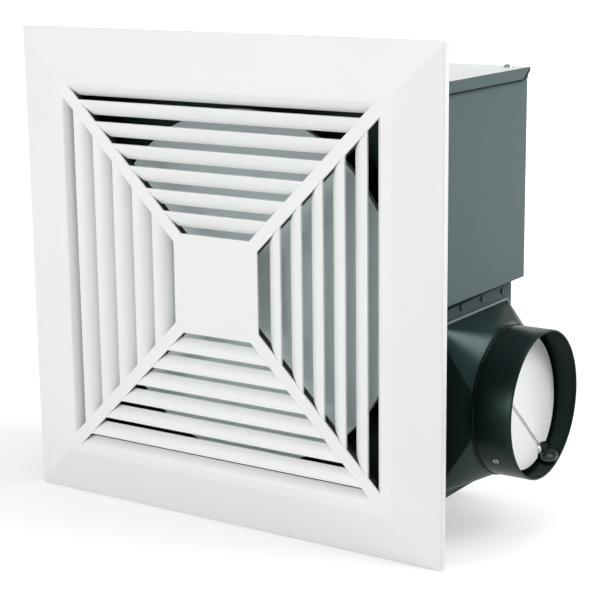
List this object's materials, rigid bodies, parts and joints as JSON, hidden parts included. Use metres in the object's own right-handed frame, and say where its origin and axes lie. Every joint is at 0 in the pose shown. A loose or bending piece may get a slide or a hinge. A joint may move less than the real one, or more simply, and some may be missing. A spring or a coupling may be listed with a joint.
{
  "type": "ceiling exhaust fan",
  "caption": "Square ceiling exhaust fan: mitred louvre grille on wire springs, sheet steel casing with a centrifugal blower, and a side duct collar with a sprung backdraft shutter.",
  "frame": {"origin": "centre of the four ceiling screws, on the ceiling's lower face", "axes": "+X towards the duct collar, +Y up into the ceiling void (the grille faces -Y), +Z along the grille towards the wiring bay; as pictured the fan stands on its edge with +Z up"},
  "size_m": [0.356, 0.1558, 0.33],
  "materials": {
    "grille_white": "smooth satin white",
    "brace_black": "matt black plastic",
    "casing_grey": "satin grey-green paint",
    "casing_dark": "satin dark green-grey paint",
    "galvanised": "dull zinc coating",
    "bright_steel": "bright plated steel",
    "rubber_black": "soft black rubber",
    "bronze": "dull bronze and copper",
    "pale_plastic": "pale moulded plastic",
    "shutter_white": "smooth white paint"
  },
  "bodies": {
    "casing": {"casing_shell": "casing_dark", "top_panel": "casing_grey", "back_panel": "casing_grey", "wiring_cover": "casing_grey", "wiring_partition": "galvanised", "orifice_plate": "casing_dark", "scroll_wrap": "galvanised", "motor_plate": "galvanised", "plate_legs": "casing_dark", "leg_screws": "casing_dark", "motor_front_cap": "galvanised", "motor_rear_cap": "galvanised", "motor_stator": "bronze", "motor_bearings": "bronze", "motor_grommets": "rubber_black", "motor_nuts": "bright_steel", "motor_lead": "rubber_black", "lead_bush": "rubber_black", "terminal_block": "pale_plastic", "terminal_screws": "bright_steel", "run_capacitor": "pale_plastic", "capacitor_clip": "galvanised", "cable_bush": "rubber_black", "earth_screw": "bronze", "panel_screws": "bright_steel", "spring_brackets": "galvanised", "duct_adapter": "casing_dark", "adapter_gasket": "rubber_black", "adapter_screws": "casing_dark", "pivot_eyelets": "bright_steel", "hinge_block": "casing_dark"},
    "rotor": {"motor_shaft": "bright_steel", "motor_rotor": "galvanised", "wheel_disc": "galvanised", "wheel_blades": "galvanised", "wheel_nut": "bright_steel"},
    "shutter": {"shutter_flap": "shutter_white", "flap_axle": "bright_steel", "flap_spring": "bright_steel"},
    "grille": {"louvre_grille": "grille_white", "cross_brace": "brace_black", "grille_spring_left": "bright_steel", "grille_spring_right": "bright_steel"}
  },
  "joints": [
    {"name": "fan_spin", "type": "hinge", "parent": "casing", "child": "rotor", "pos_m": [0, 0.09, 0], "axis": [0, -1, 0], "continuous": true},
    {"name": "flap_swing", "type": "hinge", "parent": "casing", "child": "shutter", "pos_m": [0.1759, 0.08087, -0.11022], "axis": [0, 0.9893, -0.1461], "range_deg": [0, 46], "stiffness_Nm_per_rad": 0.02, "springref_deg": -34.38},
    {"name": "grille_drop", "type": "slide", "parent": "casing", "child": "grille", "axis": [0, -1, 0], "range_m": [0, 0.0355], "stiffness_N_per_m": 120, "springref_m": -0.04}
  ]
}
